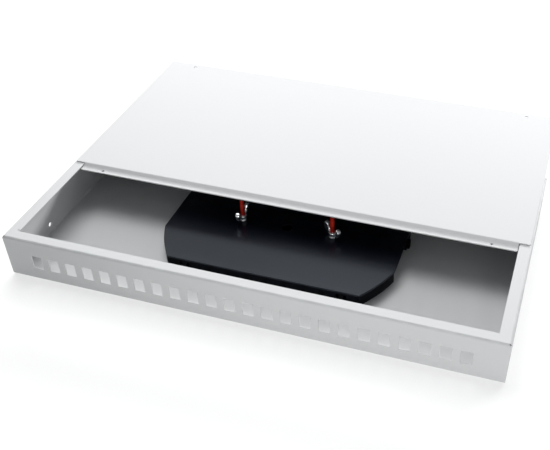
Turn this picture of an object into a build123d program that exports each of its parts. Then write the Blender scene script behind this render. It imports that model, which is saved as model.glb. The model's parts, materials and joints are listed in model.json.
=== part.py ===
from build123d import *
from math import atan2, cos, radians, sin, tan
import os

os.makedirs("parts", exist_ok=True)

# Fiber termination box, 1U high, in millimetres.
# +X is to the right seen from the front, +Y to the rear, +Z up.
# The origin is the middle of the housing's underside.

# ---------------------------------------------------------------- driving dimensions
WIDTH = 430.0
DEPTH = 220.0
HEIGHT = 42.0
SHEET = 1.0
BEND_R = 2.0
RELIEF_R = 0.9
RELIEF_INSET = 1.1
NOTCH_R = 0.8
NOTCH_SIDE = 9.0
NOTCH_FRONT = 11.4

FRONT_FLANGE = 10.0
SIDE_FLANGE = 10.6
REAR_FLANGE = 12.0

PORT_COUNT = 24
PORT_PITCH = 16.1
PORT_W = 9.6
PORT_H = 13.2
PORT_ROW_X = -1.1
PORT_Z = 19.2
PORT_CORNER_R = 0.3

EAR_HOLE_R = 2.1
EAR_HOLE_Y = -50.0
EAR_HOLE_LOW_Z = 9.3
EAR_HOLE_SPACING = 24.0

LID_WIDTH = 426.4
LID_DEPTH = 208.0
LID_CORNER_R = 1.0
LID_OPEN = 103.9
LID_GAP = 0.3
LIP_HALF_WIDTH = 203.8
LIP_REACH = 8.6
LIP_GAP = 0.15
JOGGLE_RUN = 3.4
JOGGLE_LAP = 2.0
JOGGLE_CREST_R = 2.5
JOGGLE_FOOT_R = 4.0
LIP_HOLE_X = 182.0
LIP_HOLE_INSET = 3.0
LIP_HOLE_R = 1.2
LID_SCREW_X = 183.0
LID_SCREW_INSET = 6.0
LID_SCREW_HOLE_R = 1.6
LID_THREAD_R = 1.25

STUD_X = 42.7
STUD_Y = 2.0
STUD_R = 1.5
STUD_TOP = 37.2
STUD_HEAD_R = 2.3
STUD_HEAD_H = 0.7
STUD_POINT = 0.4
NUT_CHAMFER = 0.25
M3_NUT_AF = 5.5
FIT = 0.05
STUD_CLEARANCE = 0.2

SPACER_H = 3.0
TRAY_BOTTOM = SHEET + SPACER_H
TRAY_TOP = 14.0
TRAY_WALL = 1.8
TRAY_FLOOR = 1.8
TRAY_HALF_X = 107.4
TRAY_FRONT_HALF_X = 87.0
TRAY_HALF_Y = 67.0
TRAY_CORNER_Y = 29.0
TRAY_CORNER_BULGE = 1.8
ENTRY_START = -30.0
ENTRY_END = 14.0
ENTRY_DEPTH = 5.0
LUG_REACH = 2.6
LUG_LENGTH = 5.0
LUG_H = 8.0
LUG_ROOT = 1.0
TIE_SLOT_X = 71.0
TIE_SLOT_PITCH = 6.4
TIE_SLOT_W = 2.6
TIE_SLOT_H = 4.6
TIE_SLOT_RISE = 5.7
CORE_X = 75.0
CORE_LENGTH = 60.0
CORE_WIDTH = 26.0
CORE_WALL = 1.5
CORE_GAP = 0.3
BOSS_R = 5.0
COVER_T = 1.6
COVER_CHAMFER = 0.3
COVER_TOP = TRAY_TOP + COVER_T
COVER_HOLE_R = 4.5
COVER_RIM_H = 1.2
COVER_RIM_GAP = 0.2
COVER_RIM_T = 1.5

HOLDER_W = 66.0
HOLDER_D = 24.0
HOLDER_OFFSET = 32.0
HOLDER_BASE = 1.0
HOLDER_RIB_T = 1.4
HOLDER_RIB_PITCH = 5.3
HOLDER_RIB_COUNT = 13
HOLDER_RIB_H = 5.4

WASHER_R = 3.6
WASHER_T = 0.5
NUT_BASE = COVER_TOP + WASHER_T
HUB_R = 3.9
HUB_H = 4.6
WING_H = 10.6
WING_SPAN_R = 10.4
WING_T = 2.0
WING_ROOT_R = 2.4
WING_FOOT = 0.6
WING_LAP = 0.2
HUB_TAPER = 0.5
WING_ANGLE_LEFT = 84.0
WING_ANGLE_RIGHT = -37.0

SLEEVE_GAP = 0.4
SLEEVE_BOTTOM = NUT_BASE + HUB_H + SLEEVE_GAP
SLEEVE_TOP = 38.0
SLEEVE_R = 2.1

GLAND_X = 150.0
GLAND_Z = 20.5
GLAND_THREAD_R = 10.1
GLAND_HOLE_R = 10.2
GLAND_AF = 24.0
GLAND_INNER = -8.5
GLAND_FLANGE = 5.0
GLAND_OUTER = 14.0
GLAND_BORE_R = 6.0
SEAL_SEAT_R = 8.5
SEAL_SEAT = 8.0
SEAL_BORE_R = 5.5
SEAL_R = 8.4
SEAL_TIP_R = 7.0
SEAL_END = 17.5
DOME_START = 5.6
DOME_HEX_END = 13.0
DOME_END = 23.0
DOME_MOUTH_R = 6.4
LOCKNUT_AF = 27.0
LOCKNUT_T = 5.0

ANCHOR_X = 150.0
ANCHOR_Y = 72.0
ANCHOR_STUD_Y = 66.0
ANCHOR_W = 16.0
ANCHOR_LENGTH = 18.0
ANCHOR_T = 1.5
ANCHOR_TALL = 21.0
ANCHOR_STUD_TOP = 9.0
ANCHOR_SLOT_DROP = 8.0
ANCHOR_SLOT_L = 9.0
ANCHOR_SLOT_W = 3.2
CLAMP_SCREW_R = 1.5
CLAMP_SCREW_Z = 17.0
CLAMP_GAP = 2.0
CLAMP_HEAD_R = 3.0
CLAMP_HEAD_H = 2.2
CLAMP_HEAD_FILLET = 1.0
CLAMP_SIZE = 9.0
CLAMP_T = 1.0
CLAMP_TAIL = 3.0
EARTH_X = 196.0
EARTH_Y = 80.0
EARTH_STUD_TOP = 13.0
EARTH_WASHER_R = 4.5
EARTH_WASHER_T = 0.8
EARTH_WASHER_GAP = 0.15
M4_R = 2.0
M4_HEAD_R = 2.9
M4_NUT_AF = 7.0
M4_NUT_H = 3.2

LID_FRONT_CLOSED = -DEPTH / 2 + FRONT_FLANGE + JOGGLE_RUN + LID_GAP
LID_FRONT = LID_FRONT_CLOSED + LID_OPEN
REAR_WALL = DEPTH / 2
SIDES = {"left": -1, "right": 1}


def save(piece, name):
    """Label one finished piece and write it under its own name."""
    piece.part.label = name
    export_step(piece.part, f"parts/{name}.step")


def ring(radius, hole_radius, bottom, height, x, y):
    """A flat round ring standing on the level `bottom`."""
    with BuildPart() as made:
        with BuildSketch(Plane.XY.offset(bottom)):
            with Locations((x, y)):
                Circle(radius)
                Circle(hole_radius, mode=Mode.SUBTRACT)
        extrude(amount=height)
    return made


def hex_nut(across_flats, hole_radius, bottom, height, x, y):
    """A hexagon nut with both outer faces turned to a small chamfer."""
    corner_r = across_flats / 2 / cos(radians(30))
    with BuildPart() as made:
        with BuildSketch(Plane.XY.offset(bottom)):
            with Locations((x, y)):
                RegularPolygon(corner_r, 6)
                Circle(hole_radius, mode=Mode.SUBTRACT)
        extrude(amount=height)
        with BuildSketch(Plane.XY.offset(bottom)):
            with Locations((x, y)):
                Circle(across_flats / 2 + NUT_CHAMFER)
        extrude(amount=height, mode=Mode.INTERSECT)
    return made


def clinch_stud(radius, head_radius, top, x, y):
    """A threaded stud pressed into the floor, with its head flush below."""
    with BuildPart() as made:
        with BuildSketch(Plane.XY):
            with Locations((x, y)):
                Circle(head_radius)
        extrude(amount=STUD_HEAD_H)
        with BuildSketch(Plane.XY):
            with Locations((x, y)):
                Circle(radius)
        extrude(amount=top)
        chamfer(made.edges().group_by(Axis.Z)[-1], length=STUD_POINT)
    return made


# ---------------------------------------------------------------- housing
with BuildPart() as cavity:
    Box(
        WIDTH - 2 * SHEET,
        DEPTH - 2 * SHEET,
        HEIGHT - 2 * SHEET,
        align=(Align.CENTER, Align.CENTER, Align.MIN),
    )
    fillet(cavity.edges().filter_by(Axis.Z, reverse=True), radius=BEND_R - SHEET)

with BuildPart() as housing:
    Box(WIDTH, DEPTH, HEIGHT, align=(Align.CENTER, Align.CENTER, Align.MIN))
    fillet(housing.edges().filter_by(Axis.Z, reverse=True), radius=BEND_R)
    with Locations((0, 0, SHEET)):
        add(cavity.part, mode=Mode.SUBTRACT)
    # The top is open inside the four folded flanges.
    with BuildSketch(Plane.XY.offset(HEIGHT - 2 * SHEET)):
        with Locations((0, (FRONT_FLANGE - REAR_FLANGE) / 2)):
            Rectangle(WIDTH - 2 * SIDE_FLANGE, DEPTH - FRONT_FLANGE - REAR_FLANGE)
    extrude(amount=3 * SHEET, mode=Mode.SUBTRACT)
    # A row of cut-outs for snap-in adapters.
    with BuildSketch(Plane.XZ.offset(DEPTH / 2 - 2 * SHEET)):
        with Locations((PORT_ROW_X, PORT_Z)):
            with GridLocations(PORT_PITCH, 1, PORT_COUNT, 1):
                RectangleRounded(PORT_W, PORT_H, PORT_CORNER_R)
    extrude(amount=3 * SHEET, mode=Mode.SUBTRACT)
    # Two holes in each side wall take a rack ear.
    ear_mid_z = EAR_HOLE_LOW_Z + EAR_HOLE_SPACING / 2
    with BuildSketch(Plane.YZ.offset(-WIDTH / 2 - SHEET)):
        with Locations((EAR_HOLE_Y, ear_mid_z)):
            with GridLocations(1, EAR_HOLE_SPACING, 1, 2):
                Circle(EAR_HOLE_R)
    extrude(amount=WIDTH + 2 * SHEET, mode=Mode.SUBTRACT)
    # Cable gland holes in the rear wall.
    with BuildSketch(Plane.XZ.offset(-REAR_WALL - SHEET)):
        with Locations((0, GLAND_Z)):
            with GridLocations(2 * GLAND_X, 1, 2, 1):
                Circle(GLAND_HOLE_R)
    extrude(amount=3 * SHEET, mode=Mode.SUBTRACT)
    # Tapped holes in the rear flange, under the lid's screw holes.
    lid_screw_y = LID_FRONT_CLOSED + LID_DEPTH - LID_SCREW_INSET
    with BuildSketch(Plane.XY.offset(HEIGHT - 2 * SHEET)):
        with Locations((0, lid_screw_y)):
            with GridLocations(2 * LID_SCREW_X, 1, 2, 1):
                Circle(LID_THREAD_R)
    extrude(amount=3 * SHEET, mode=Mode.SUBTRACT)
    # Stud seats in the floor: a shank hole and a flush seat for the head.
    with BuildSketch(Plane.XY):
        with Locations((-STUD_X, STUD_Y), (STUD_X, STUD_Y)):
            Circle(STUD_R)
        with Locations((-ANCHOR_X, ANCHOR_STUD_Y), (ANCHOR_X, ANCHOR_STUD_Y), (EARTH_X, EARTH_Y)):
            Circle(M4_R)
    extrude(amount=SHEET, mode=Mode.SUBTRACT)
    with BuildSketch(Plane.XY):
        with Locations((-STUD_X, STUD_Y), (STUD_X, STUD_Y)):
            Circle(STUD_HEAD_R)
        with Locations((-ANCHOR_X, ANCHOR_STUD_Y), (ANCHOR_X, ANCHOR_STUD_Y), (EARTH_X, EARTH_Y)):
            Circle(M4_HEAD_R)
    extrude(amount=STUD_HEAD_H, mode=Mode.SUBTRACT)
    # Small relief notches where the folds meet at the top corners.
    with BuildSketch(Plane.XY.offset(HEIGHT - 2 * SHEET)):
        with GridLocations(WIDTH - 2 * RELIEF_INSET, DEPTH - 2 * RELIEF_INSET, 2, 2):
            Circle(RELIEF_R)
        with Locations((NOTCH_SIDE - WIDTH / 2, NOTCH_FRONT - DEPTH / 2)):
            Circle(NOTCH_R)
    extrude(amount=3 * SHEET, mode=Mode.SUBTRACT)
save(housing, "housing")

# ---------------------------------------------------------------- lid
LIP_TOP = HEIGHT - SHEET - LIP_GAP
LIP_BOTTOM = LIP_TOP - SHEET
LID_TOP = HEIGHT + SHEET
JOGGLE_FOOT = LID_FRONT - JOGGLE_RUN
JOGGLE_SHIFT = SHEET * tan(atan2(LID_TOP - LIP_TOP, JOGGLE_RUN) / 2)
joggle_bends = {
    (LID_FRONT, LID_TOP): JOGGLE_CREST_R,
    (LID_FRONT + JOGGLE_SHIFT, HEIGHT): JOGGLE_CREST_R - SHEET,
    (JOGGLE_FOOT, LIP_TOP): JOGGLE_FOOT_R,
    (JOGGLE_FOOT + JOGGLE_SHIFT, LIP_BOTTOM): JOGGLE_FOOT_R + SHEET,
}
with BuildPart() as lid:
    with BuildSketch(Plane.XY.offset(HEIGHT)):
        with Locations((0, LID_FRONT + LID_DEPTH / 2)):
            RectangleRounded(LID_WIDTH, LID_DEPTH, LID_CORNER_R)
        with Locations((0, LID_FRONT)):
            Rectangle(2 * LIP_HALF_WIDTH, 2 * JOGGLE_LAP, mode=Mode.SUBTRACT)
    extrude(amount=SHEET)
    # The joggle slopes down in front of the plate, so that its lip slides under the front flange.
    with BuildSketch(Plane.YZ.offset(-LIP_HALF_WIDTH)) as joggle:
        with BuildLine():
            Polyline(
                (LID_FRONT - LIP_REACH, LIP_BOTTOM),
                (JOGGLE_FOOT + JOGGLE_SHIFT, LIP_BOTTOM),
                (LID_FRONT + JOGGLE_SHIFT, HEIGHT),
                (LID_FRONT + JOGGLE_LAP, HEIGHT),
                (LID_FRONT + JOGGLE_LAP, LID_TOP),
                (LID_FRONT, LID_TOP),
                (JOGGLE_FOOT, LIP_TOP),
                (LID_FRONT - LIP_REACH, LIP_TOP),
                close=True,
            )
        make_face()
        for corner, bend_r in joggle_bends.items():
            fillet(joggle.vertices().sort_by_distance(corner)[0], radius=bend_r)
    extrude(amount=2 * LIP_HALF_WIDTH)
    with BuildSketch(Plane.XY.offset(LIP_BOTTOM - SHEET)):
        with Locations((0, LID_FRONT - LIP_REACH + LIP_HOLE_INSET)):
            with GridLocations(2 * LIP_HOLE_X, 1, 2, 1):
                Circle(LIP_HOLE_R)
        with Locations((0, LID_FRONT + LID_DEPTH - LID_SCREW_INSET)):
            with GridLocations(2 * LID_SCREW_X, 1, 2, 1):
                Circle(LID_SCREW_HOLE_R)
    extrude(amount=6 * SHEET, mode=Mode.SUBTRACT)
save(lid, "lid")


# ---------------------------------------------------------------- splice tray and cover
def tray_level(height):
    """A level plane centred between the two tray studs."""
    return Plane(origin=(0, STUD_Y, height))


def tray_outline(inset):
    """Draw the tray's outline as one loop, moved inwards by `inset`."""
    half_x = TRAY_HALF_X - inset
    half_y = TRAY_HALF_Y - inset
    front_x = TRAY_FRONT_HALF_X - inset / 2
    corner_y = TRAY_CORNER_Y - inset / 2
    slant = atan2(half_y - corner_y, half_x - front_x)
    mid_x = (half_x + front_x) / 2 + TRAY_CORNER_BULGE * sin(slant)
    mid_y = (half_y + corner_y) / 2 + TRAY_CORNER_BULGE * cos(slant)
    for side in (-1, 1):
        Line((side * half_x, -corner_y), (side * half_x, corner_y))
        Line((-front_x, side * half_y), (front_x, side * half_y))
        for end in (-1, 1):
            ThreePointArc(
                (side * half_x, end * corner_y),
                (side * mid_x, end * mid_y),
                (side * front_x, end * half_y),
            )


with BuildPart() as splice_tray:
    with BuildSketch(tray_level(TRAY_BOTTOM)):
        with BuildLine():
            tray_outline(0)
        make_face()
    extrude(amount=TRAY_TOP - TRAY_BOTTOM)
    with BuildSketch(tray_level(TRAY_BOTTOM + TRAY_FLOOR)):
        with BuildLine():
            tray_outline(TRAY_WALL)
        make_face()
    extrude(amount=TRAY_TOP, mode=Mode.SUBTRACT)
    # Fibre entries: the side walls and the floor's rim are cut back.
    with BuildSketch(tray_level(TRAY_BOTTOM)):
        with Locations((0, (ENTRY_START + ENTRY_END) / 2)):
            with GridLocations(2 * TRAY_HALF_X, 1, 2, 1):
                Rectangle(2 * ENTRY_DEPTH, ENTRY_END - ENTRY_START)
    extrude(amount=TRAY_TOP, mode=Mode.SUBTRACT)
    # A small lug stands out of the right side wall behind its entry.
    with BuildSketch(tray_level(TRAY_TOP - LUG_H)):
        lug_x = TRAY_HALF_X + (LUG_REACH - LUG_ROOT) / 2
        with Locations((lug_x, ENTRY_END + LUG_LENGTH / 2)):
            Rectangle(LUG_REACH + LUG_ROOT, LUG_LENGTH)
    extrude(amount=LUG_H)
    # Pairs of tie slots near both ends of the front wall.
    with BuildSketch(Plane.XZ.offset(TRAY_HALF_Y - STUD_Y - 2 * TRAY_WALL)):
        for end in (-1, 1):
            with Locations((end * TIE_SLOT_X, TRAY_BOTTOM + TIE_SLOT_RISE)):
                with GridLocations(TIE_SLOT_PITCH, 1, 2, 1):
                    Rectangle(TIE_SLOT_W, TIE_SLOT_H)
    extrude(amount=3 * TRAY_WALL, mode=Mode.SUBTRACT)
    # Stud bosses carry the clamping load up to the cover.
    with BuildSketch(tray_level(TRAY_BOTTOM)):
        with GridLocations(2 * STUD_X, 1, 2, 1):
            Circle(BOSS_R)
    extrude(amount=TRAY_TOP - TRAY_BOTTOM)
    # Two oval cores keep the fibre loops wide enough.
    with BuildSketch(tray_level(TRAY_BOTTOM)):
        with GridLocations(2 * CORE_X, 1, 2, 1):
            SlotOverall(CORE_LENGTH, CORE_WIDTH, rotation=90)
            SlotOverall(
                CORE_LENGTH - 2 * CORE_WALL,
                CORE_WIDTH - 2 * CORE_WALL,
                rotation=90,
                mode=Mode.SUBTRACT,
            )
    extrude(amount=TRAY_TOP - TRAY_BOTTOM - COVER_RIM_H - CORE_GAP)
    with BuildSketch(tray_level(TRAY_BOTTOM)):
        with GridLocations(2 * STUD_X, 1, 2, 1):
            Circle(STUD_R + STUD_CLEARANCE)
    extrude(amount=TRAY_TOP, mode=Mode.SUBTRACT)
save(splice_tray, "splice_tray")

with BuildPart() as tray_cover:
    with BuildSketch(tray_level(TRAY_TOP)):
        with BuildLine():
            tray_outline(0)
        make_face()
    extrude(amount=COVER_T)
    chamfer(tray_cover.edges().group_by(Axis.Z)[-1], length=COVER_CHAMFER)
    # A rim below the plate drops inside the tray's wall.
    with BuildSketch(tray_level(TRAY_TOP - COVER_RIM_H)):
        with BuildLine():
            tray_outline(TRAY_WALL + COVER_RIM_GAP)
        make_face()
        with BuildLine():
            tray_outline(TRAY_WALL + COVER_RIM_GAP + COVER_RIM_T)
        make_face(mode=Mode.SUBTRACT)
    extrude(amount=COVER_RIM_H)
    with BuildSketch(tray_level(TRAY_TOP)):
        Circle(COVER_HOLE_R)
        with GridLocations(2 * STUD_X, 1, 2, 1):
            Circle(STUD_R + STUD_CLEARANCE)
    extrude(amount=COVER_T, mode=Mode.SUBTRACT)
save(tray_cover, "tray_cover")

# ---------------------------------------------------------------- splice protector combs
for where, end in {"front": -1, "rear": 1}.items():
    comb_plane = Plane(origin=(0, STUD_Y + end * HOLDER_OFFSET, TRAY_BOTTOM + TRAY_FLOOR))
    with BuildPart() as splice_holder:
        with BuildSketch(comb_plane):
            Rectangle(HOLDER_W, HOLDER_D)
        extrude(amount=HOLDER_BASE)
        with BuildSketch(comb_plane):
            with GridLocations(HOLDER_RIB_PITCH, 1, HOLDER_RIB_COUNT, 1):
                Rectangle(HOLDER_RIB_T, HOLDER_D)
        extrude(amount=HOLDER_BASE + HOLDER_RIB_H)
    save(splice_holder, f"splice_holder_{where}")


# ---------------------------------------------------------------- tray studs and what is on them
def wing_nut(x, angle):
    """A wing nut with two raised rounded wings, turned by `angle` degrees about its stud."""
    turn = radians(angle)
    upright = Plane(
        origin=(x, STUD_Y, NUT_BASE),
        x_dir=(cos(turn), sin(turn), 0),
        z_dir=(sin(turn), -cos(turn), 0),
    )
    with BuildPart() as made:
        with BuildSketch(upright):
            for side in (-1, 1):
                with BuildLine():
                    Polyline(
                        (side * WING_ROOT_R, HUB_H - WING_LAP),
                        (side * WING_ROOT_R, WING_FOOT),
                        (side * (HUB_R + WING_FOOT), WING_FOOT),
                        (side * (WING_SPAN_R - 1.2), HUB_H + WING_LAP),
                    )
                    ThreePointArc(
                        (side * (WING_SPAN_R - 1.2), HUB_H + WING_LAP),
                        (side * WING_SPAN_R, WING_H - 3.0),
                        (side * (WING_SPAN_R - 1.5), WING_H - 0.3),
                    )
                    ThreePointArc(
                        (side * (WING_SPAN_R - 1.5), WING_H - 0.3),
                        (side * (WING_SPAN_R - 2.3), WING_H),
                        (side * (WING_SPAN_R - 3.0), WING_H - 0.6),
                    )
                    Polyline(
                        (side * (WING_SPAN_R - 3.0), WING_H - 0.6),
                        (side * HUB_R, HUB_H - WING_LAP),
                        (side * WING_ROOT_R, HUB_H - WING_LAP),
                    )
                make_face()
        extrude(amount=WING_T / 2, both=True)
        with Locations((x, STUD_Y, NUT_BASE)):
            Cone(HUB_R, HUB_R - HUB_TAPER, HUB_H, align=(Align.CENTER, Align.CENTER, Align.MIN))
            Cylinder(
                STUD_R + FIT,
                WING_H,
                align=(Align.CENTER, Align.CENTER, Align.MIN),
                mode=Mode.SUBTRACT,
            )
    return made


for where, side in SIDES.items():
    stud_x = side * STUD_X
    save(clinch_stud(STUD_R, STUD_HEAD_R, STUD_TOP, stud_x, STUD_Y), f"stud_{where}")
    save(hex_nut(M3_NUT_AF, STUD_R + FIT, SHEET, SPACER_H, stud_x, STUD_Y), f"spacer_nut_{where}")
    save(ring(WASHER_R, STUD_R + 2 * FIT, COVER_TOP, WASHER_T, stud_x, STUD_Y), f"washer_{where}")
    sleeve_h = SLEEVE_TOP - SLEEVE_BOTTOM
    save(ring(SLEEVE_R, STUD_R, SLEEVE_BOTTOM, sleeve_h, stud_x, STUD_Y), f"stud_sleeve_{where}")
save(wing_nut(-STUD_X, WING_ANGLE_LEFT), "wing_nut_left")
save(wing_nut(STUD_X, WING_ANGLE_RIGHT), "wing_nut_right")


# ---------------------------------------------------------------- cable glands in the rear wall
def gland_plane(x, along):
    """A plane across the gland's axis, `along` millimetres behind the rear wall."""
    return Plane(origin=(x, REAR_WALL + along, GLAND_Z), x_dir=(1, 0, 0), z_dir=(0, 1, 0))


def hexagon(across_flats):
    """A hexagon given by its width across the flats."""
    RegularPolygon(across_flats / 2 / cos(radians(30)), 6)


def gland_body(x):
    """Threaded body: inner thread, hexagon collar and outer thread with the seal's seat."""
    with BuildPart() as made:
        with BuildSketch(gland_plane(x, GLAND_INNER)):
            Circle(GLAND_THREAD_R)
        extrude(amount=GLAND_OUTER - GLAND_INNER)
        with BuildSketch(gland_plane(x, 0)):
            hexagon(GLAND_AF)
        extrude(amount=GLAND_FLANGE)
        with BuildSketch(gland_plane(x, GLAND_INNER)):
            Circle(GLAND_BORE_R)
        extrude(amount=GLAND_OUTER - GLAND_INNER, mode=Mode.SUBTRACT)
        with BuildSketch(gland_plane(x, SEAL_SEAT)):
            Circle(SEAL_SEAT_R)
        extrude(amount=GLAND_OUTER - SEAL_SEAT, mode=Mode.SUBTRACT)
    return made


def gland_turned(x, profile):
    """Turn a closed profile of (along, radius) points about the gland's axis."""
    with BuildPart() as made:
        axial = Plane(origin=(x, REAR_WALL, GLAND_Z), x_dir=(0, 1, 0), z_dir=(1, 0, 0))
        with BuildSketch(axial):
            with BuildLine():
                Polyline(*profile, close=True)
            make_face()
        revolve(axis=Axis((x, REAR_WALL, GLAND_Z), (0, 1, 0)))
    return made


def gland_seal(x):
    """Soft ring that grips the cable when the dome nut is tightened."""
    profile = [
        (SEAL_SEAT, SEAL_BORE_R),
        (SEAL_SEAT, SEAL_R),
        (GLAND_OUTER, SEAL_R),
        (SEAL_END, SEAL_TIP_R),
        (SEAL_END, SEAL_BORE_R),
    ]
    return gland_turned(x, profile)


def gland_dome_nut(x):
    """Dome nut: a hexagon skirt that runs on the outer thread and a domed nose."""
    thread_r = GLAND_THREAD_R + FIT
    nose = [
        (DOME_HEX_END - 1.0, thread_r),
        (DOME_HEX_END - 1.0, GLAND_AF / 2),
        (DOME_HEX_END + 3.0, GLAND_AF / 2 - 0.2),
        (DOME_HEX_END + 6.5, GLAND_AF / 2 - 1.4),
        (DOME_END - 1.2, GLAND_AF / 2 - 3.4),
        (DOME_END, DOME_MOUTH_R + 1.0),
        (DOME_END, DOME_MOUTH_R),
        (DOME_HEX_END + 6.5, DOME_MOUTH_R),
        (DOME_HEX_END + 2.0, SEAL_R + 0.9),
        (DOME_HEX_END + 2.0, thread_r),
    ]
    with BuildPart() as made:
        add(gland_turned(x, nose).part)
        with BuildSketch(gland_plane(x, DOME_START)):
            hexagon(GLAND_AF)
            Circle(thread_r, mode=Mode.SUBTRACT)
        extrude(amount=DOME_HEX_END - DOME_START)
    return made


def gland_locknut(x):
    """Hexagon locknut that holds the gland from inside the housing."""
    with BuildPart() as made:
        with BuildSketch(gland_plane(x, -SHEET - LOCKNUT_T)):
            hexagon(LOCKNUT_AF)
            Circle(GLAND_THREAD_R + FIT, mode=Mode.SUBTRACT)
        extrude(amount=LOCKNUT_T)
    return made


for where, side in SIDES.items():
    save(gland_body(side * GLAND_X), f"gland_body_{where}")
    save(gland_seal(side * GLAND_X), f"gland_seal_{where}")
    save(gland_dome_nut(side * GLAND_X), f"gland_dome_nut_{where}")
    save(gland_locknut(side * GLAND_X), f"gland_locknut_{where}")


# ---------------------------------------------------------------- cable anchors and earth stud
def anchor_bracket(x):
    """Angle bracket: a foot on the floor and an upright with a tie slot and a tapped hole."""
    rear = ANCHOR_Y + ANCHOR_LENGTH / 2
    with BuildPart() as made:
        with BuildSketch(Plane.YZ.offset(x - ANCHOR_W / 2)):
            with BuildLine():
                Polyline(
                    (rear - ANCHOR_LENGTH, SHEET),
                    (rear, SHEET),
                    (rear, SHEET + ANCHOR_TALL),
                    (rear - ANCHOR_T, SHEET + ANCHOR_TALL),
                    (rear - ANCHOR_T, SHEET + ANCHOR_T),
                    (rear - ANCHOR_LENGTH, SHEET + ANCHOR_T),
                    close=True,
                )
            make_face()
        extrude(amount=ANCHOR_W)
        outer_bend = made.edges().filter_by(Axis.X).group_by(Axis.Z)[0].sort_by(Axis.Y)[-1]
        fillet(outer_bend, radius=ANCHOR_T)
        with BuildSketch(Plane.XZ.offset(-rear - 1)):
            with Locations((x, CLAMP_SCREW_Z)):
                Circle(CLAMP_SCREW_R)
            with Locations((x, CLAMP_SCREW_Z - ANCHOR_SLOT_DROP)):
                SlotOverall(ANCHOR_SLOT_L, ANCHOR_SLOT_W)
        extrude(amount=ANCHOR_T + 2, mode=Mode.SUBTRACT)
        with BuildSketch(Plane.XY.offset(SHEET)):
            with Locations((x, ANCHOR_STUD_Y)):
                Circle(M4_R + FIT)
        extrude(amount=ANCHOR_T, mode=Mode.SUBTRACT)
    return made


def clamp_screw(x):
    """Pan-head screw in the upright, with room for a strength member under its washer."""
    rear = ANCHOR_Y + ANCHOR_LENGTH / 2
    with BuildPart() as made:
        with BuildSketch(Plane.XZ.offset(-rear - CLAMP_GAP - CLAMP_T)):
            with Locations((x, CLAMP_SCREW_Z)):
                Circle(CLAMP_HEAD_R)
        extrude(amount=-CLAMP_HEAD_H)
        fillet(made.edges().group_by(Axis.Y)[-1], radius=CLAMP_HEAD_FILLET)
        with BuildSketch(Plane.XZ.offset(-rear - CLAMP_GAP - CLAMP_T)):
            with Locations((x, CLAMP_SCREW_Z)):
                Circle(CLAMP_SCREW_R)
        extrude(amount=CLAMP_T + CLAMP_GAP + ANCHOR_T + CLAMP_TAIL)
    return made


def clamp_washer(x):
    """Square washer that presses the strength member against the upright."""
    rear = ANCHOR_Y + ANCHOR_LENGTH / 2
    with BuildPart() as made:
        with BuildSketch(Plane.XZ.offset(-rear - CLAMP_GAP - CLAMP_T)):
            with Locations((x, CLAMP_SCREW_Z)):
                Rectangle(CLAMP_SIZE, CLAMP_SIZE)
                Circle(CLAMP_SCREW_R + FIT, mode=Mode.SUBTRACT)
        extrude(amount=CLAMP_T)
    return made


for where, side in SIDES.items():
    anchor_x = side * ANCHOR_X
    save(anchor_bracket(anchor_x), f"anchor_bracket_{where}")
    save(clinch_stud(M4_R, M4_HEAD_R, ANCHOR_STUD_TOP, anchor_x, ANCHOR_STUD_Y), f"anchor_stud_{where}")
    save(
        hex_nut(M4_NUT_AF, M4_R + FIT, SHEET + ANCHOR_T, M4_NUT_H, anchor_x, ANCHOR_STUD_Y),
        f"anchor_nut_{where}",
    )
    save(clamp_screw(anchor_x), f"clamp_screw_{where}")
    save(clamp_washer(anchor_x), f"clamp_washer_{where}")

earth_hole_r = M4_R + EARTH_WASHER_GAP
earth_nut_z = SHEET + EARTH_WASHER_T
save(clinch_stud(M4_R, M4_HEAD_R, EARTH_STUD_TOP, EARTH_X, EARTH_Y), "earth_stud")
save(ring(EARTH_WASHER_R, earth_hole_r, SHEET, EARTH_WASHER_T, EARTH_X, EARTH_Y), "earth_washer")
save(hex_nut(M4_NUT_AF, M4_R + FIT, earth_nut_z, M4_NUT_H, EARTH_X, EARTH_Y), "earth_nut")
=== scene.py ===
import json
import math

import bmesh
import bpy
from mathutils import Matrix, Vector


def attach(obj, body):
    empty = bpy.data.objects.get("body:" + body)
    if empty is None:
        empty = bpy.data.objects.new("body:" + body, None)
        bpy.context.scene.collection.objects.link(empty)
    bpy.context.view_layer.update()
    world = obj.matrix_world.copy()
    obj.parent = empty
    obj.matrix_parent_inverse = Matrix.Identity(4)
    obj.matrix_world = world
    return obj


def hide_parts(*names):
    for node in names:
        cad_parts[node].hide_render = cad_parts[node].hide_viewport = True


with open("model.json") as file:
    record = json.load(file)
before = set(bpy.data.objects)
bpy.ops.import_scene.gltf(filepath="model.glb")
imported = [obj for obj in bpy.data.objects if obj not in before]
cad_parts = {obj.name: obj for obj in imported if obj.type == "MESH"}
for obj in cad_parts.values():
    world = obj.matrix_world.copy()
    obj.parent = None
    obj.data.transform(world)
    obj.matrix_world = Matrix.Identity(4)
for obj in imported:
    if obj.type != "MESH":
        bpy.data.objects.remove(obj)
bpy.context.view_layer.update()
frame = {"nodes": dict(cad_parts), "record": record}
nodes = frame["nodes"]

MM = 0.001
FLAT_AREA = 8e-5            # m2: a face at least this large is a flat plate and is shaded flat
SIDES = ("left", "right")
WING_TURN = {"left": 84.0, "right": -37.0}  # degrees from +X
REAR_FACE = 0.110           # m: Y of the rear wall's outside, where the glands are seated
BACKWARDS = (0, 1, 0)
DOME_START = 12.9           # mm behind the rear wall: where the dome nut's skirt ends
body_of = {n: body for body, names in frame["record"]["behaviour"]["bodies"].items() for n in names}
slot_of = {row["node"]: row["material_slot"] for row in frame["record"]["subparts"]}


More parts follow.
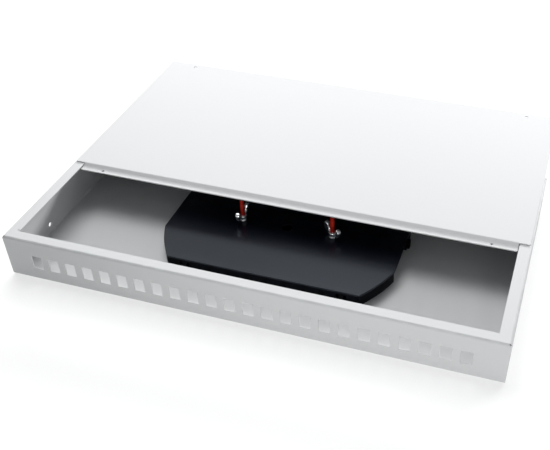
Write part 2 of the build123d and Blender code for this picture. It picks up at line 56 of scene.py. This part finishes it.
# ---------------------------------------------------------------- shader groups
def node_group(name, inputs, outputs):
    """An empty shader group with float inputs and outputs, and its two end nodes."""
    group = bpy.data.node_groups.new(name, "ShaderNodeTree")
    for label, value in inputs.items():
        socket = group.interface.new_socket(label, in_out="INPUT", socket_type="NodeSocketFloat")
        socket.default_value = value
    for label in outputs:
        group.interface.new_socket(label, in_out="OUTPUT", socket_type="NodeSocketFloat")
    return group, group.nodes.new("NodeGroupInput"), group.nodes.new("NodeGroupOutput")


def add_node(tree, kind, **settings):
    """A new shader node with its plain settings and unlinked socket values."""
    made = tree.nodes.new(kind)
    for key, value in settings.items():
        if key.startswith("in_"):
            made.inputs[key[3:].replace("_", " ")].default_value = value
        else:
            setattr(made, key, value)
    return made


def object_noise(tree, scale_socket, detail=3.0, stretch=None):
    """Noise on Object coordinates. `stretch` multiplies the three axes before the lookup."""
    coords = add_node(tree, "ShaderNodeTexCoord")
    noise = add_node(tree, "ShaderNodeTexNoise", in_Detail=detail)
    source = coords.outputs["Object"]
    if stretch:
        mapping = add_node(tree, "ShaderNodeMapping")
        mapping.inputs["Scale"].default_value = stretch
        tree.links.new(source, mapping.inputs["Vector"])
        source = mapping.outputs["Vector"]
    tree.links.new(source, noise.inputs["Vector"])
    tree.links.new(scale_socket, noise.inputs["Scale"])
    return noise


def build_grain_group():
    """Two sizes of surface grain: a height for bump and a slow mask for colour and gloss."""
    group, start, end = node_group(
        "surface grain", {"Fine Scale": 1500.0, "Slow Scale": 40.0}, ["Height", "Slow Mask"]
    )
    fine = object_noise(group, start.outputs["Fine Scale"])
    slow = object_noise(group, start.outputs["Slow Scale"], detail=5.0)
    group.links.new(fine.outputs["Fac"], end.inputs["Height"])
    group.links.new(slow.outputs["Fac"], end.inputs["Slow Mask"])
    return group


def build_edge_group():
    """Rim mask: the rounded rims that carry the `rim` attribute, broken up by noise. It lightens them,
    partly as scuffing, partly as a painted edge highlight.
    """
    group, start, end = node_group("rim wear", {"Scale": 300.0, "Amount": 0.5}, ["Wear"])
    rim = add_node(group, "ShaderNodeAttribute", attribute_name="rim")
    noise = object_noise(group, start.outputs["Scale"])
    spread = add_node(group, "ShaderNodeMapRange")
    spread.inputs["From Min"].default_value = 0.42
    spread.inputs["From Max"].default_value = 0.62
    group.links.new(noise.outputs["Fac"], spread.inputs["Value"])
    broken = add_node(group, "ShaderNodeMath", operation="MULTIPLY")
    group.links.new(rim.outputs["Fac"], broken.inputs[0])
    group.links.new(spread.outputs["Result"], broken.inputs[1])
    scaled = add_node(group, "ShaderNodeMath", operation="MULTIPLY")
    group.links.new(broken.outputs["Value"], scaled.inputs[0])
    group.links.new(start.outputs["Amount"], scaled.inputs[1])
    group.links.new(scaled.outputs["Value"], end.inputs["Wear"])
    return group


def build_scratch_group():
    """Fine hairlines: very long thin noise along one axis, as brushing or handling leaves."""
    group, start, end = node_group("hairlines", {"Scale": 400.0}, ["Lines"])
    noise = object_noise(group, start.outputs["Scale"], detail=4.0, stretch=(0.03, 1.0, 1.0))
    group.links.new(noise.outputs["Fac"], end.inputs["Lines"])
    return group


grain_group = build_grain_group()
edge_group = build_edge_group()
scratch_group = build_scratch_group()


def use_group(tree, group, **values):
    """A shader group placed in a tree with its own input values."""
    made = tree.nodes.new("ShaderNodeGroup")
    made.node_tree = group
    for key, value in values.items():
        made.inputs[key.replace("_", " ")].default_value = value
    return made


def colour_mix(tree, factor, low, high):
    """A colour that runs from `low` to `high` with a mask. Either end may be a socket."""
    mix = add_node(tree, "ShaderNodeMix", data_type="RGBA")
    tree.links.new(factor, mix.inputs["Factor"])
    for socket, value in ((mix.inputs[6], low), (mix.inputs[7], high)):
        if isinstance(value, bpy.types.NodeSocket):
            tree.links.new(value, socket)
        else:
            socket.default_value = (*value, 1.0)
    return mix.outputs[2]


def remap(tree, value, low, high, from_low=0.35, from_high=0.65):
    """A value stretched from one range to another, held at both ends."""
    span = add_node(tree, "ShaderNodeMapRange")
    span.inputs["From Min"].default_value = from_low
    span.inputs["From Max"].default_value = from_high
    span.inputs["To Min"].default_value = low
    span.inputs["To Max"].default_value = high
    tree.links.new(value, span.inputs["Value"])
    return span.outputs["Result"]


def surface_finish(name, colours, rough, fine, slow, bump, wear_and_highlight_colour, wear_and_highlight=0.5, wear_and_highlight_scale=300.0,
                   metallic=0.0, specular=0.5, tint=(1.0, 1.0, 1.0), lines=0.0):
    """One surface finish. Colours and roughness run between two ends with a slow mask,
    fine grain raises a bump, and rims run towards a lighter rim colour: partly scuffing, partly a painted
    edge highlight."""
    material = bpy.data.materials.new(name)
    material.use_nodes = True
    tree = material.node_tree
    shader = tree.nodes["Principled BSDF"]
    shader.inputs["Metallic"].default_value = metallic
    shader.inputs["Specular IOR Level"].default_value = specular
    shader.inputs["Specular Tint"].default_value = (*tint, 1.0)
    grain = use_group(tree, grain_group, Fine_Scale=fine, Slow_Scale=slow)
    rims = use_group(tree, edge_group, Scale=wear_and_highlight_scale, Amount=wear_and_highlight)
    slow_mask = remap(tree, grain.outputs["Slow Mask"], 0.0, 1.0)
    base = colour_mix(tree, slow_mask, *colours)
    # The rounded rims are mixed towards the lighter rim colour: partly scuffing, partly a painted
    # highlight along the edges.
    colour = colour_mix(tree, rims.outputs["Wear"], base, wear_and_highlight_colour)
    tree.links.new(colour, shader.inputs["Base Color"])
    rough_socket = remap(tree, grain.outputs["Slow Mask"], *rough)
    height = grain.outputs["Height"]
    if lines:
        hair = use_group(tree, scratch_group, Scale=lines)
        blend = add_node(tree, "ShaderNodeMath", operation="ADD")
        tree.links.new(height, blend.inputs[0])
        tree.links.new(hair.outputs["Lines"], blend.inputs[1])
        height = blend.outputs["Value"]
        streak = add_node(tree, "ShaderNodeMath", operation="MULTIPLY_ADD")
        streak.inputs[1].default_value = 0.25
        tree.links.new(remap(tree, hair.outputs["Lines"], -0.5, 0.5), streak.inputs[0])
        tree.links.new(rough_socket, streak.inputs[2])
        rough_socket = streak.outputs["Value"]
    tree.links.new(rough_socket, shader.inputs["Roughness"])
    bumps = add_node(tree, "ShaderNodeBump", in_Strength=bump[0], in_Distance=bump[1])
    tree.links.new(height, bumps.inputs["Height"])
    tree.links.new(bumps.outputs["Normal"], shader.inputs["Normal"])
    return material


materials = {
    "powder_coat": surface_finish(
        "light grey powder coat", ((0.545, 0.549, 0.555), (0.556, 0.560, 0.565)), (0.54, 0.59),
        fine=1300.0, slow=4.0, bump=(0.05, 0.00004), specular=0.3, wear_and_highlight_colour=(0.62, 0.625, 0.63), wear_and_highlight=0.6,
        wear_and_highlight_scale=90.0,
    ),
    "black_plastic": surface_finish(
        "black moulded plastic", ((0.0016, 0.0022, 0.0052), (0.0024, 0.0032, 0.0070)), (0.21, 0.25),
        fine=2600.0, slow=12.0, bump=(0.03, 0.00005), wear_and_highlight_colour=(0.012, 0.013, 0.017), wear_and_highlight=0.6,
        wear_and_highlight_scale=160.0, specular=0.34, tint=(0.78, 0.88, 1.0),
    ),
    "tray_plastic": surface_finish(
        "black tray plastic", ((0.0016, 0.0020, 0.0032), (0.0024, 0.0030, 0.0044)), (0.38, 0.44),
        fine=2600.0, slow=12.0, bump=(0.05, 0.00005), wear_and_highlight_colour=(0.006, 0.006, 0.008), wear_and_highlight=0.6,
        wear_and_highlight_scale=160.0, specular=0.03,
    ),
    "bright_zinc": surface_finish(
        "bright zinc casting", ((0.86, 0.87, 0.89), (0.95, 0.96, 0.97)), (0.16, 0.26),
        fine=700.0, slow=240.0, bump=(0.35, 0.00025), wear_and_highlight_colour=(0.97, 0.97, 0.97), metallic=1.0,
    ),
    "zinc_steel": surface_finish(
        "zinc-plated steel", ((0.50, 0.51, 0.53), (0.66, 0.67, 0.68)), (0.22, 0.40),
        fine=1800.0, slow=120.0, bump=(0.10, 0.00006), wear_and_highlight_colour=(0.78, 0.78, 0.78),
        metallic=1.0, lines=900.0,
    ),
    "red_plastic": surface_finish(
        "red sleeve plastic", ((0.26, 0.010, 0.004), (0.36, 0.016, 0.007)), (0.22, 0.34),
        fine=900.0, slow=120.0, bump=(0.25, 0.00015), wear_and_highlight_colour=(0.52, 0.06, 0.04),
    ),
    "grey_nylon": surface_finish(
        "grey nylon", ((0.33, 0.34, 0.35), (0.37, 0.38, 0.39)), (0.46, 0.58),
        fine=1600.0, slow=60.0, bump=(0.20, 0.0001), wear_and_highlight_colour=(0.48, 0.49, 0.50),
    ),
    "black_rubber": surface_finish(
        "black seal rubber", ((0.012, 0.012, 0.012), (0.022, 0.022, 0.022)), (0.60, 0.80),
        fine=1200.0, slow=80.0, bump=(0.25, 0.00012), wear_and_highlight_colour=(0.05, 0.05, 0.05),
    ),
    "brass": surface_finish(
        "turned brass", ((0.62, 0.42, 0.16), (0.74, 0.53, 0.22)), (0.20, 0.38),
        fine=1500.0, slow=140.0, bump=(0.10, 0.00006), wear_and_highlight_colour=(0.86, 0.70, 0.38),
        metallic=1.0, lines=900.0,
    ),
}


# ---------------------------------------------------------------- pieces
def add_piece(name, bm, *replaced, smooth_angle=35.0, material=None):
    """Turns a bmesh, placed where the object has it, into a piece that stands for CAD nodes."""
    bmesh.ops.recalc_face_normals(bm, faces=bm.faces)
    mesh = bpy.data.meshes.new(name)
    bm.to_mesh(mesh)
    bm.free()
    mesh.shade_smooth()
    mesh.set_sharp_from_angle(angle=math.radians(smooth_angle))
    for polygon in mesh.polygons:
        polygon.use_smooth = polygon.area < FLAT_AREA
    piece = bpy.data.objects.new(name, mesh)
    bpy.context.scene.collection.objects.link(piece)
    slot = slot_of[replaced[0]]
    mesh.materials.append(materials[material or slot])
    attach(piece, body_of[replaced[0]])
    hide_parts(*replaced)
    return piece


def sharp_edges(bm, angle):
    """The edges between two faces that meet at more than `angle` degrees."""
    limit = math.radians(angle)
    return [e for e in bm.edges if len(e.link_faces) == 2 and e.calc_face_angle(0.0) > limit]


def soften(bm, rim, segments=2, angle=30.0):
    """Rounds the sharp edges by `rim` mm. A point that only rounded strips meet is marked rim, which the
    materials paint lighter: scuffing and painted edge highlight.
    """
    sharp = sharp_edges(bm, angle)
    bmesh.ops.bevel(
        bm, geom=sharp, offset=rim * MM, offset_type="OFFSET", affect="EDGES", segments=segments,
        profile=0.5, material=-1, clamp_overlap=True,
    )
    layer = bm.verts.layers.float.get("rim") or bm.verts.layers.float.new("rim")
    narrow = {f for f in bm.faces if 2.0 * f.calc_area() < 0.9 * rim * MM * f.calc_perimeter()}
    for vert in bm.verts:
        if vert.link_faces and all(face in narrow for face in vert.link_faces):
            vert[layer] = 1.0


def cad_copy(node):
    """A bmesh copy of a CAD node with its flat faces merged."""
    bm = bmesh.new()
    bm.from_mesh(nodes[node].data)
    bmesh.ops.remove_doubles(bm, verts=bm.verts, dist=0.002 * MM)
    bmesh.ops.dissolve_limit(
        bm, angle_limit=math.radians(0.6), verts=bm.verts, edges=bm.edges, delimit=set()
    )
    return bm


def refined(node, rim, segments=2, material=None):
    """The CAD node's own shape with softened edges."""
    bm = cad_copy(node)
    soften(bm, rim, segments)
    return add_piece(f"{node}_finished", bm, node, material=material)


def box_of(node):
    """Middle, lowest corner and highest corner of a node's own box, in metres."""
    corners = [nodes[node].matrix_world @ Vector(c) for c in nodes[node].bound_box]
    low = Vector([min(c[i] for c in corners) for i in range(3)])
    high = Vector([max(c[i] for c in corners) for i in range(3)])
    return (low + high) / 2, low, high


def frame_at(place, axis):
    """A matrix whose Z runs along `axis` from `place`."""
    turn = Vector(axis).to_track_quat("Z", "Y").to_matrix().to_4x4()
    return Matrix.Translation(place) @ turn


def chain(bm, points):
    """Vertices at (radius, height) in mm on the XZ plane, joined by edges."""
    verts = [bm.verts.new((r * MM, 0.0, h * MM)) for r, h in points]
    return verts, [bm.edges.new(pair) for pair in zip(verts, verts[1:])]


def turned(bm, points, steps=48, closed=True):
    """Spins a (radius, height) outline in mm about Z. A closed outline makes a ring."""
    verts, edges = chain(bm, points)
    if closed:
        edges.append(bm.edges.new((verts[-1], verts[0])))
    bmesh.ops.spin(
        bm, geom=verts + edges, cent=(0, 0, 0), axis=(0, 0, 1), angle=math.tau, steps=steps,
        use_merge=True, use_duplicate=False,
    )
    bmesh.ops.remove_doubles(bm, verts=bm.verts, dist=0.0005 * MM)


def arc(radius, from_angle, to_angle, centre, count=6):
    """Points along a circular arc, angles in degrees."""
    angles = [math.radians(from_angle + (to_angle - from_angle) * k / count) for k in range(count + 1)]
    return [(centre[0] + radius * math.cos(a), centre[1] + radius * math.sin(a)) for a in angles]


def thread(bm, radius, pitch, depth, low, high, steps=24):
    """A solid screw thread between two heights: one rib wound up the axis, then cut and capped."""
    start = low - 1.5 * pitch
    rib = [
        (radius, start), (radius, start + 0.12 * pitch), (radius - depth, start + 0.50 * pitch),
        (radius - depth, start + 0.62 * pitch), (radius, start + pitch),
    ]
    verts, edges = chain(bm, rib)
    turns = math.ceil((high - low) / pitch) + 3
    bmesh.ops.spin(
        bm, geom=verts + edges, cent=(0, 0, 0), axis=(0, 0, 1), dvec=(0, 0, pitch * MM / steps),
        angle=math.tau * turns, steps=steps * turns, use_merge=False, use_duplicate=False,
    )
    mine = [v for v in bm.verts if v.co.z < (high + 4 * pitch) * MM]
    bmesh.ops.remove_doubles(bm, verts=mine, dist=0.002 * MM)
    for height, up in ((low, -1.0), (high, 1.0)):
        bmesh.ops.bisect_plane(
            bm, geom=bm.verts[:] + bm.edges[:] + bm.faces[:], plane_co=(0, 0, height * MM),
            plane_no=(0, 0, up), clear_outer=True, clear_inner=False,
        )
        level = height * MM
        open_edges = [e for e in bm.edges if e.is_boundary]
        rims = [e for e in open_edges if all(abs(v.co.z - level) < 1e-7 for v in e.verts)]
        if rims:
            bmesh.ops.holes_fill(bm, edges=rims, sides=0)


def merged(target, source, matrix=None):
    """Adds one bmesh to another as its own shell."""
    mesh = bpy.data.meshes.new("part")
    if matrix is not None:
        bmesh.ops.transform(source, matrix=matrix, verts=source.verts)
    bmesh.ops.recalc_face_normals(source, faces=source.faces)
    source.to_mesh(mesh)
    source.free()
    target.from_mesh(mesh)
    bpy.data.meshes.remove(mesh)


def stud_piece(node, radius, head_radius, pitch):
    """A pressed-in stud: flush head, plain neck, wound thread and a turned point."""
    centre, low, high = box_of(node)
    tall = (high.z - low.z) / MM
    bm = bmesh.new()
    shank = bmesh.new()
    turned(shank, [
        (0.0, 0.0), (head_radius - 0.15, 0.0), (head_radius, 0.15), (head_radius, 0.7),
        (radius - 0.02, 0.7), (radius - 0.02, 1.6), (0.0, 1.6),
    ], closed=False)
    merged(bm, shank)
    wound = bmesh.new()
    thread(wound, radius, pitch, 0.55 * pitch, 1.5, tall - 0.5)
    merged(bm, wound)
    point = bmesh.new()
    turned(point, [
        (0.0, tall - 0.7), (radius - 0.5 * pitch, tall - 0.7), (radius - 0.55 * pitch, tall - 0.15),
        (radius - 0.8 * pitch, tall), (0.0, tall),
    ], closed=False)
    merged(bm, point)
    bmesh.ops.translate(bm, vec=(centre.x, centre.y, low.z), verts=bm.verts)
    return add_piece(f"{node}_threaded", bm, node)


def washer_piece(node, radius, hole_radius):
    """A stamped washer: rounded on the punched side, a fine burr on the other."""
    centre, low, high = box_of(node)
    tall = (high.z - low.z) / MM
    bm = bmesh.new()
    turned(bm, [
        (hole_radius, 0.06), (hole_radius + 0.06, 0.0), (radius - 0.05, 0.0), (radius, 0.05),
        (radius, tall - 0.18), (radius - 0.06, tall - 0.06), (radius - 0.2, tall),
        (hole_radius + 0.12, tall), (hole_radius, tall - 0.1),
    ])
    bmesh.ops.translate(bm, vec=(centre.x, centre.y, low.z), verts=bm.verts)
    return add_piece(f"{node}_stamped", bm, node)


def sleeve_piece(node, radius, hole_radius):
    """A soft sleeve with a rolled mouth, shallow rings along its length and a flared foot."""
    centre, low, high = box_of(node)
    tall = (high.z - low.z) / MM
    outer = [(radius - 0.16, 0.0), (radius - 0.02, 0.25)]
    for k in range(1, 22):
        height = 0.25 + (tall - 0.6) * k / 22
        ripple = 0.05 * math.sin(k * 2.1) + 0.03 * math.sin(k * 4.7)
        outer.append((radius - 0.08 + ripple, height))
    outer += arc(0.25, 0.0, 90.0, (radius - 0.25, tall - 0.25), 4)
    bm = bmesh.new()
    bore_foot = [(hole_radius, 0.15), (hole_radius + 0.15, 0.0)]
    turned(bm, [*bore_foot, *outer, (hole_radius, tall - 0.15)], steps=32)
    bmesh.ops.translate(bm, vec=(centre.x, centre.y, low.z), verts=bm.verts)
    return add_piece(f"{node}_moulded", bm, node)


def wing_nut_piece(node, angle):
    """A cast wing nut: turned hub with a waist, and two full rounded wings with raised lobes."""
    low = box_of(node)[1]
    stud = box_of(node.replace("wing_nut", "stud"))[0]
    bm = bmesh.new()
    hub = bmesh.new()
    turned(hub, [
        (1.75, 0.0), (3.75, 0.0), *arc(0.25, -90.0, 0.0, (3.65, 0.25), 3), (3.72, 0.9), (3.45, 1.6),
        (3.35, 2.6), (3.3, 3.6), *arc(0.6, 0.0, 90.0, (2.65, 4.0), 4), (1.95, 4.6), (1.55, 4.3),
        (1.55, 0.25),
    ], steps=40)
    merged(bm, hub)
    outline = [
        (2.3, 4.6), (2.1, 0.7), (4.6, 0.6), (7.2, 2.4), (9.6, 4.8), (10.6, 6.6), (10.9, 8.8),
        (10.5, 10.8), (9.3, 12.0), (7.6, 12.2), (6.2, 11.3), (5.5, 9.4), (4.9, 7.0), (4.0, 5.1),
    ]
    for side in (-1, 1):
        wing = bmesh.new()
        verts = [wing.verts.new((side * r * MM, -0.5 * MM, h * MM)) for r, h in outline]
        face = wing.faces.new(verts)
        solid = bmesh.ops.extrude_face_region(wing, geom=[face])
        moved = [v for v in solid["geom"] if isinstance(v, bmesh.types.BMVert)]
        bmesh.ops.translate(wing, vec=(0, MM, 0), verts=moved)
        # The lobe is fuller than the web that joins it to the hub.
        for vert in wing.verts:
            fuller = min(max((abs(vert.co.x) / MM - 4.5) / 3.5, 0.0), 1.0)
            vert.co.y *= 2.0 + 2.2 * fuller
        bmesh.ops.recalc_face_normals(wing, faces=wing.faces)
        flat = [e for e in wing.edges if e.calc_face_angle(0.0) > math.radians(50)]
        bmesh.ops.bevel(
            wing, geom=flat, offset=1.2 * MM, offset_type="OFFSET", affect="EDGES", segments=5,
            profile=0.5, material=-1, clamp_overlap=True,
        )
        merged(bm, wing)
    turn = Matrix.Rotation(math.radians(angle), 4, "Z")
    bmesh.ops.transform(bm, matrix=Matrix.Translation((stud.x, stud.y, low.z)) @ turn, verts=bm.verts)
    # Every point takes half of the rim mask, so the whole casting is mixed partly towards its lighter rim
    # colour.
    layer = bm.verts.layers.float.new("rim")
    for vert in bm.verts:
        vert[layer] = 0.5
    return add_piece(f"{node}_cast", bm, node, smooth_angle=50.0)


def clamp_screw_piece(node):
    """A pan-head screw with a cross recess and a wound thread, lying along Y."""
    centre, low, high = box_of(node)
    length = (high.y - low.y) / MM
    bm = bmesh.new()
    head = bmesh.new()
    turned(head, [
        (0.0, 0.0), (1.0, 0.0), (2.0, 0.12), (2.6, 0.5), (2.95, 1.1), (3.0, 1.6), (2.95, 2.15),
        (2.8, 2.2), (0.0, 2.2),
    ], closed=False)
    merged(bm, head)
    for turn in (0.0, math.pi / 2):
        slot = bmesh.new()
        bmesh.ops.create_cube(slot, size=1.0)
        bmesh.ops.scale(slot, vec=(2.9 * MM, 0.55 * MM, 0.1 * MM), verts=slot.verts)
        bmesh.ops.translate(slot, vec=(0, 0, 0.03 * MM), verts=slot.verts)
        soften(slot, 0.03)
        merged(bm, slot, Matrix.Rotation(turn, 4, "Z"))
    wound = bmesh.new()
    thread(wound, 1.5, 0.5, 0.28, 2.1, length)
    merged(bm, wound)
    bmesh.ops.transform(bm, matrix=frame_at((centre.x, high.y, centre.z), (0, -1, 0)), verts=bm.verts)
    return add_piece(f"{node}_threaded", bm, node)


def gland_body_piece(node):
    """The gland's hexagon collar and seat from the CAD node, with ribbed threads at both ends."""
    centre = box_of(node)[0]
    bm = cad_copy(node)
    soften(bm, 0.25)
    for start, end in ((-8.3, -6.4), (-0.95, -0.05)):
        ring = bmesh.new()
        height = start
        while height + 0.5 <= end:
            turned(ring, [
                (9.7, height), (10.09, height + 0.2), (10.09, height + 0.3), (9.7, height + 0.5),
            ], steps=64)
            height += 0.75
        merged(bm, ring, frame_at((centre.x, REAR_FACE, centre.z), BACKWARDS))
    return add_piece(f"{node}_threaded", bm, node)


def dome_nut_piece(node):
    """The hexagon skirt of the CAD node with a smooth domed nose and a rolled mouth."""
    centre = box_of(node)[0]
    bm = cad_copy(node)
    bmesh.ops.bisect_plane(
        bm, geom=bm.verts[:] + bm.edges[:] + bm.faces[:],
        plane_co=(0, REAR_FACE + DOME_START * MM, 0), plane_no=BACKWARDS,
        clear_outer=True, clear_inner=False,
    )
    edges = [e for e in bm.edges if e.is_boundary]
    if edges:
        bmesh.ops.bridge_loops(bm, edges=edges)
    soften(bm, 0.35, 3)
    nose = bmesh.new()
    dome = [
        (11.85, 12.6), (11.9, 14.2), (11.8, 15.8), (11.5, 17.2), (10.9, 18.7), (10.1, 20.0), (9.1, 21.2),
    ]
    mouth = arc(0.75, 60.0, 180.0, (7.15, 22.25), 6)
    inside = [(6.4, 20.0), (7.4, 17.5), (9.3, 15.4), (10.15, 14.8)]
    turned(nose, [(10.15, 12.6), *dome, (8.2, 22.1), *mouth, *inside], steps=72)
    merged(bm, nose, frame_at((centre.x, REAR_FACE, centre.z), BACKWARDS))
    return add_piece(f"{node}_domed", bm, node)


def seal_piece(node):
    """The soft seal: a ring with three grip lips in its bore and a tapered nose."""
    centre = box_of(node)[0]
    bore = []
    for k in range(3):
        base = 16.9 - 2.6 * k
        bore += [(5.5, base), (5.5, base - 0.5), (5.85, base - 0.9), (5.85, base - 2.1)]
    bm = bmesh.new()
    turned(bm, [
        (5.7, 8.0), (8.25, 8.0), (8.4, 8.2), (8.4, 13.9), (7.15, 17.2), (6.9, 17.45), (5.7, 17.45), *bore,
    ], steps=64)
    place = frame_at((centre.x, REAR_FACE, centre.z), BACKWARDS)
    bmesh.ops.transform(bm, matrix=place, verts=bm.verts)
    return add_piece(f"{node}_moulded", bm, node)


refined("housing", 0.22, 3)
refined("lid", 0.22, 3)
refined("splice_tray", 0.3, 3, material="tray_plastic")
refined("tray_cover", 0.25, 3)
refined("splice_holder_front", 0.2)
refined("splice_holder_rear", 0.2)
for side in SIDES:
    stud_piece(f"stud_{side}", 1.5, 2.3, 0.5)
    stud_piece(f"anchor_stud_{side}", 2.0, 2.9, 0.7)
    washer_piece(f"washer_{side}", 3.6, 1.6)
    sleeve_piece(f"stud_sleeve_{side}", 2.1, 1.5)
    gland_body_piece(f"gland_body_{side}")
    dome_nut_piece(f"gland_dome_nut_{side}")
    seal_piece(f"gland_seal_{side}")
    clamp_screw_piece(f"clamp_screw_{side}")
    refined(f"gland_locknut_{side}", 0.4, 3)
    refined(f"anchor_bracket_{side}", 0.12)
    refined(f"clamp_washer_{side}", 0.12)
    refined(f"anchor_nut_{side}", 0.15)
    refined(f"spacer_nut_{side}", 0.15)
for side in SIDES:
    wing_nut_piece(f"wing_nut_{side}", WING_TURN[side])
stud_piece("earth_stud", 2.0, 2.9, 0.7)
washer_piece("earth_washer", 4.5, 2.15)
refined("earth_nut", 0.15)


# ---------------------------------------------------------------- stage, light and camera
def build_stage():
    """A plain pale floor that glows faintly, so that it stays evenly light."""
    bm = bmesh.new()
    bmesh.ops.create_grid(bm, x_segments=1, y_segments=1, size=6.0)
    mesh = bpy.data.meshes.new("floor")
    bm.to_mesh(mesh)
    bm.free()
    floor = bpy.data.objects.new("floor", mesh)
    bpy.context.scene.collection.objects.link(floor)
    pale = bpy.data.materials.new("pale floor")
    pale.use_nodes = True
    shader = pale.node_tree.nodes["Principled BSDF"]
    shader.inputs["Base Color"].default_value = (0.40, 0.40, 0.40, 1.0)
    shader.inputs["Roughness"].default_value = 0.9
    shader.inputs["Emission Color"].default_value = (1.0, 1.0, 1.0, 1.0)
    shader.inputs["Emission Strength"].default_value = 0.62
    mesh.materials.append(pale)


def hang_light(name, data, place, target):
    """Hangs a light at `place` and points it at `target`."""
    lamp = bpy.data.objects.new(name, data)
    lamp.location = place
    lamp.rotation_euler = (Vector(target) - Vector(place)).to_track_quat("-Z", "Y").to_euler()
    bpy.context.scene.collection.objects.link(lamp)


def area_light(name, place, size, watts):
    """A softbox that faces the middle of the object."""
    data = bpy.data.lights.new(name, "AREA")
    data.shape = "RECTANGLE"
    data.size, data.size_y = size
    data.energy = watts
    hang_light(name, data, place, (0.0, 0.0, 0.0))


def spot_light(name, place, target, cone, watts):
    """A soft-edged spot with a cone of `cone` degrees."""
    data = bpy.data.lights.new(name, "SPOT")
    data.spot_size = math.radians(cone)
    data.spot_blend = 1.0
    data.shadow_soft_size = 0.12
    data.energy = watts
    hang_light(name, data, place, target)


def build_camera():
    data = bpy.data.cameras.new("camera")
    data.sensor_width = 36.0
    data.lens = 54.8
    data.shift_x = -0.108
    data.shift_y = 0.040
    data.clip_start = 0.01
    camera = bpy.data.objects.new("camera", data)
    camera.location = (0.2212, -0.5475, 0.4875)
    camera.rotation_euler = [math.radians(a) for a in (50.04, 0.4, 17.5)]
    bpy.context.scene.collection.objects.link(camera)
    bpy.context.scene.camera = camera


def build_light():
    world = bpy.data.worlds.new("studio")
    world.use_nodes = True
    sky = world.node_tree.nodes["Background"]
    sky.inputs["Color"].default_value = (0.92, 0.97, 1.0, 1.0)
    sky.inputs["Strength"].default_value = 0.23
    bpy.context.scene.world = world
    area_light("key softbox", (0.85, 2.05, 0.79), (1.9, 0.35), 60.0)
    area_light("overhead softbox", (-0.5, 0.6, 1.8), (1.4, 1.0), 26.0)
    area_light("rear softbox", (-0.90, 2.05, 0.79), (1.9, 0.35), 28.0)
    area_light("rear panel", (-0.7, 1.8, 1.5), (1.6, 1.0), 5.0)
    spot_light("front fill", (0.34, -1.35, 0.26), (0.17, -0.11, 0.01), 34.0, 27.0)


build_stage()
build_light()
build_camera()
bpy.context.scene.view_settings.view_transform = "Standard"
